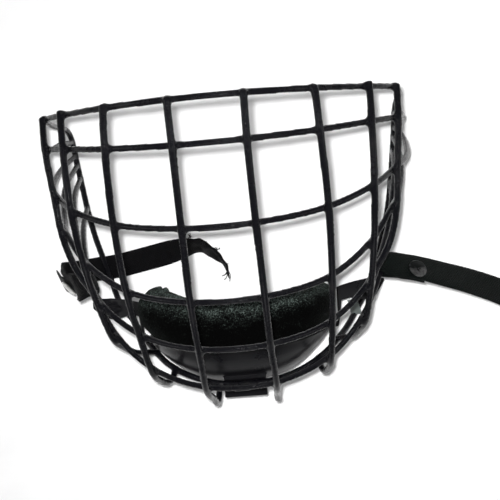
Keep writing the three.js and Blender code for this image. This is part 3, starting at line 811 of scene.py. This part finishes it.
# The torn end is crumpled, and yarns hang out of it and out of the corner where it twists over.
crumple = {"aside": (-38, -24), "up": (-16, -12), "scale": 170, "depth": 0.0016, "lowest": 0.0001}
noise.seed_set(5)
for vert in left_strap.data.vertices:
    aside, along, up = (vert.co - drawing_origin) * 1000
    depth = smooth_step(aside, *crumple["aside"]) * smooth_step(-up, *crumple["up"]) * crumple["depth"]
    vert.co += noise.noise_vector(vert.co * crumple["scale"]) * depth
    vert.co.z = max(vert.co.z, crumple["lowest"])
yarns = []
yarn_bends = 5
yarn_jitter = 0.9
yarn_droop = 0.12
yarn_floor = 0.3
yarn_radius = (0.16, 0.3)
shuffle = random.Random(11)
frayed = [
    {"from": (-33, 11.4, 11), "way": (0.35, 0.75, 0.2), "count": 6, "long": 3.4, "wander": 0.5},
    {"from": (-24, 6.5, 11), "way": (0.5, 0.7, 0.3), "count": 4, "long": 3, "wander": 0.6},
    {"from": (-17.4, 2.2, 8.6), "way": (0.8, 0.1, 0.2), "count": 5, "long": 4, "wander": 0.5},
    {"from": (-12.4, -7, 4), "way": (0.5, -0.9, -0.1), "count": 6, "long": 5.5, "wander": 0.45},
    {"from": (-10.6, -12.6, 1.6), "way": (-0.1, -1, -0.05), "count": 8, "long": 8.5, "wander": 0.4},
    {"from": (-10.8, -14, 1.2), "way": (-1, -0.45, 0), "count": 2, "long": 6, "wander": 0.15},
]
for tuft in frayed:
    for _ in range(tuft["count"]):
        jitter = Vector([shuffle.uniform(-yarn_jitter, yarn_jitter) for _ in range(3)])
        tip = Vector(tuft["from"]) + jitter
        heading = Vector(tuft["way"]).normalized()
        step = tuft["long"] * shuffle.uniform(0.5, 1) / yarn_bends
        route = []
        for _ in range(yarn_bends + 1):
            route.append((tip.x, tip.y, max(tip.z, yarn_floor)))
            bend = Vector([shuffle.uniform(-1, 1) for _ in range(3)]) * tuft["wander"]
            heading = (heading + bend + Vector((0, 0, -yarn_droop))).normalized()
            tip = tip + heading * step
        radius = shuffle.uniform(*yarn_radius) / 1000
        yarns.append(run_wire(placed(route), radius, sides=6, spacing=0.0006))
tufts = joined(yarns)
bmesh.ops.recalc_face_normals(tufts, faces=tufts.faces)
fray = new_piece("left_webbing_fray", tufts)
fray.data.shade_smooth()
yarn, shader = new_finish("loose_black_yarn", (0.005, 0.005, 0.006), 0.6, Specular_IOR_Level=0.15)
where = add(yarn, "ShaderNodeTexCoord").outputs["Object"]
strands = add(yarn, "ShaderNodeTexNoise", {"Vector": where, "Scale": 2600, "Detail": 3})
feed(yarn, ramp(yarn, strands.outputs["Fac"], [
    (0.35, (0.002, 0.002, 0.002)), (0.7, (0.012, 0.012, 0.013))]), shader, "Base Color")
fray.data.materials.append(yarn)
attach(fray, "root")


def weave_finish(name, dark, light, sheen):
    """Nylon webbing: ribs across the ribbon, crossed by yarns that pass over and under them."""
    lane_wide = 0.0011
    yarn_long = 0.0017
    material, shader = new_finish(name, light, 0.62, Specular_IOR_Level=0.12,
                                  Sheen_Weight=sheen, Sheen_Roughness=0.4)
    uv = add(material, "ShaderNodeUVMap", uv_map="weave").outputs["UV"]
    parts = add(material, "ShaderNodeSeparateXYZ", {"Vector": uv})
    lane = reckon(material, "MULTIPLY", parts.outputs["Y"], 1 / lane_wide)
    lane_shift = reckon(material, "MULTIPLY", reckon(material, "FLOOR", lane), 0.5)
    yarn = reckon(material, "MULTIPLY", parts.outputs["X"], 1 / yarn_long)
    shifted = reckon(material, "ADD", yarn, lane_shift)
    waves = []
    for source in (lane, shifted):
        turned = reckon(material, "MULTIPLY", source, math.pi)
        waves.append(reckon(material, "ABSOLUTE", reckon(material, "SINE", turned)))
    woven = reckon(material, "MULTIPLY", *waves)
    where = add(material, "ShaderNodeTexCoord").outputs["Object"]
    fibre = add(material, "ShaderNodeTexNoise", {"Vector": where, "Scale": 1500, "Detail": 2})
    fuzz = reckon(material, "MULTIPLY", fibre.outputs["Fac"], 0.35)
    height = reckon(material, "ADD", woven, fuzz)
    dust = add(material, "ShaderNodeTexNoise", {
        "Vector": where, "Scale": 260, "Detail": 6, "Roughness": 0.7})
    # Painted shade: the colour is darker where the weave is low, in the grooves between the yarns, and
    # darker again at random with the dust noise.
    dust_and_groove_shade = reckon(material, "MULTIPLY", height, dust.outputs["Fac"])
    feed(material, ramp(material, dust_and_groove_shade, [(0.05, dark), (0.6, light)]), shader, "Base Color")
    bump = add(material, "ShaderNodeBump", {"Height": height, "Strength": 0.7, "Distance": 0.0004})
    feed(material, bump.outputs["Normal"], shader, "Normal")
    return material


left_strap.data.materials.append(weave_finish(
    "black_webbing", (0.001, 0.001, 0.001), (0.005, 0.005, 0.006), 0.01))
right_strap.data.materials.append(weave_finish(
    "green_black_webbing", (0.0005, 0.0008, 0.0008), (0.0045, 0.007, 0.006), 0.008))
for strap, node, slot in ((left_strap, "strap_left", "black_webbing"),
                          (right_strap, "strap_right", "green_webbing")):
    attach(strap, "root")
    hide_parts(node)


# ---------------------------------------------------------------- snaps
# A pressed steel cap with a rolled rim, on a short post that goes through both layers of webbing.
# The cap's outline is spun, from its crown to its foot, as (radius, height) in millimetres.
snap = {"gap": 0.3, "skirt": 0.6, "post_radius": 1.6, "post_short": 0.1}
cap_outline = [(0, 1.5), (1.6, 1.46), (3.0, 1.34), (3.9, 1.1), (4.25, 0.98), (4.6, 1.02), (5.0, 0.92),
               (5.3, 0.6), (5.4, 0.3), (5.3, 0.04), (5.0, 0)]


def snap_button(name, upper, lower, row, off_middle):
    """A cap spun from its outline, and its post, through two layers of a strap."""
    across = upper[row]["across"].normalized()
    normal = (upper[row + 1]["middle"] - upper[row - 1]["middle"]).cross(across).normalized()
    normal = -normal if normal.z < 0 else normal
    upper_middle = upper[row]["middle"] + across * off_middle
    lower_middle = lower[-row]["middle"] + across * off_middle
    seat = upper_middle + normal * (strap_thick / 2 + snap["gap"] + snap["skirt"])
    bm = bmesh.new()
    chain = [bm.verts.new((radius / 1000, 0, height / 1000)) for radius, height in cap_outline]
    chain.append(bm.verts.new((0, 0, 0)))
    edges = [bm.edges.new(pair) for pair in zip(chain, chain[1:])]
    bmesh.ops.spin(bm, geom=chain + edges, axis=(0, 0, 1), cent=(0, 0, 0), steps=48, angle=2 * math.pi,
                   use_merge=True)
    bmesh.ops.remove_doubles(bm, verts=bm.verts, dist=1e-6)
    foot = (lower_middle - seat).length + strap_thick / 2 - snap["post_short"]
    bmesh.ops.create_cone(bm, cap_ends=True, segments=32, radius1=snap["post_radius"] / 1000,
                          radius2=snap["post_radius"] / 1000, depth=foot / 1000,
                          matrix=Matrix.Translation((0, 0, -foot / 2000)))
    bmesh.ops.recalc_face_normals(bm, faces=bm.faces)
    turn = normal.to_track_quat("Z", "Y").to_matrix().to_4x4()
    bmesh.ops.transform(bm, matrix=Matrix.Translation(placed([seat])[0]) @ turn, verts=bm.verts)
    button = new_piece(name, bm)
    button.data.shade_smooth()
    return button


right_button = snap_button("right_snap_cap", right_upper, right_lower, right_snap_row, off_middle=-2)
left_button = snap_button("left_snap_cap", left_upper, left_lower, left_snap_row, off_middle=0)


def snap_finish(name, colour, wear_and_shade_colour, roughness, painted_bright_below):
    """Plated steel, dulled and spotted where the plating is worn, with a painted reflection: the cap is
    painted paler below a given height and darker towards the forehead side.
    """
    blend = 0.0015
    dulling = 0.2
    material, shader = new_finish(name, colour, roughness, Metallic=1)
    where = add(material, "ShaderNodeTexCoord").outputs["Object"]
    tarnish = add(material, "ShaderNodeTexNoise", {
        "Vector": where, "Scale": 420, "Detail": 6, "Roughness": 0.7}).outputs["Fac"]
    place = add(material, "ShaderNodeSeparateXYZ", {"Vector": where})
    # Painted reflection: the cap is paler below the given height and darker above it, over the worn spots.
    line = spread(material, place.outputs["Y"], painted_bright_below - blend, painted_bright_below + blend, 0.12, -0.2)
    tarnish_and_painted_reflection = reckon(material, "ADD", tarnish, line)
    feed(material, ramp(material, tarnish_and_painted_reflection, [(0.35, wear_and_shade_colour), (0.6, colour)]), shader, "Base Color")
    dull = spread(material, tarnish, 0.3, 0.7, roughness + dulling, roughness)
    feed(material, dull, shader, "Roughness")
    bump = add(material, "ShaderNodeBump", {"Height": tarnish, "Strength": 0.15, "Distance": 0.0002})
    feed(material, bump.outputs["Normal"], shader, "Normal")
    return material


right_low, right_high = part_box("snap_right")
left_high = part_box("snap_left")[1]
right_button.data.materials.append(snap_finish(
    "dark_snap_steel", (0.2, 0.2, 0.2), (0.02, 0.022, 0.022), 0.34,
    painted_bright_below=(right_low.y + right_high.y) / 2))
left_button.data.materials.append(snap_finish(
    "pale_snap_steel", (0.62, 0.62, 0.60), (0.3, 0.3, 0.29), 0.3, painted_bright_below=left_high.y))
for button, node in ((left_button, "snap_left"), (right_button, "snap_right")):
    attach(button, "root")
    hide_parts(node)


# ---------------------------------------------------------------- floor, light and camera
# A plain pale floor, a small bright lamp just beside the camera, which throws each wire's shadow
# close beside it, and soft even light all round. The camera is nearly straight over the cage.
floor_bm = bmesh.new()
bmesh.ops.create_grid(floor_bm, x_segments=2, y_segments=2, size=3)
floor = new_piece("floor", floor_bm)
floor_paint, shader = new_finish("pale_floor", (0.86, 0.86, 0.86), 0.8)
where = add(floor_paint, "ShaderNodeTexCoord").outputs["Object"]
mottle = add(floor_paint, "ShaderNodeTexNoise", {"Vector": where, "Scale": 30, "Detail": 4})
feed(floor_paint, ramp(floor_paint, mottle.outputs["Fac"], [
    (0.3, (0.84, 0.84, 0.84)), (0.7, (0.88, 0.88, 0.88))]), shader, "Base Color")
floor.data.materials.append(floor_paint)

# The even light shows less in gloss than it gives to the rest.
world = bpy.data.worlds.new("studio")
world.use_nodes = True
background = world.node_tree.nodes["Background"]
background.inputs["Color"].default_value = (1, 1, 1, 1)
rays = add(world, "ShaderNodeLightPath")
strength = spread(world, rays.outputs["Is Glossy Ray"], 0, 1, 0.38, 0.14)
feed(world, strength, background, "Strength")
bpy.context.scene.world = world
bpy.context.scene.view_settings.view_transform = "Standard"

eye = placed([(37.5, 0, 534.5)])[0]
lens_lean = Matrix.Rotation(math.radians(3.44), 4, "Y")
lens_roll = Matrix.Rotation(math.radians(-4.79), 4, "Z")


def area_light(name, place, target, size, power, mirrored=True, lights_matt=True):
    """A square lamp. One can leave no highlight on gloss, or give only that."""
    lamp = bpy.data.lights.new(name, "AREA")
    lamp.size = size
    lamp.energy = power
    light = bpy.data.objects.new(name, lamp)
    heading = Vector(target) - Vector(place)
    light.matrix_world = Matrix.Translation(place) @ heading.to_track_quat("-Z", "Y").to_matrix().to_4x4()
    light.visible_camera = False
    light.visible_glossy = mirrored
    light.visible_diffuse = lights_matt
    bpy.context.collection.objects.link(light)


# The lamp throws the shadows, and a dimmer one in the same place gives gloss its highlight. The
# four panels stand round the cage and show in gloss alone.
beside_camera = eye + Vector((-0.0085, 0.013, 0))
under_camera = (eye.x, eye.y, 0)
area_light("lamp", beside_camera, under_camera, size=0.0135, power=3.1, mirrored=False)
area_light("lamp_glint", beside_camera, under_camera, size=0.03, power=0.22)
panel_places = [(-1.3, 0.1, 0.8), (1.3, -0.1, 0.8), (0.1, 1.3, 0.9), (-0.1, -1.3, 0.9)]
for i, place in enumerate(panel_places):
    area_light(f"panel_{i}", place, (0, 0, 0.08), size=0.7, power=3, lights_matt=False)

camera = bpy.data.cameras.new("camera")
camera.lens = 57.6
camera.sensor_width = 36
camera.clip_start = 0.01
viewer = bpy.data.objects.new("camera", camera)
viewer.matrix_world = Matrix.Translation(eye) @ lens_lean @ lens_roll
bpy.context.collection.objects.link(viewer)
bpy.context.scene.camera = viewer
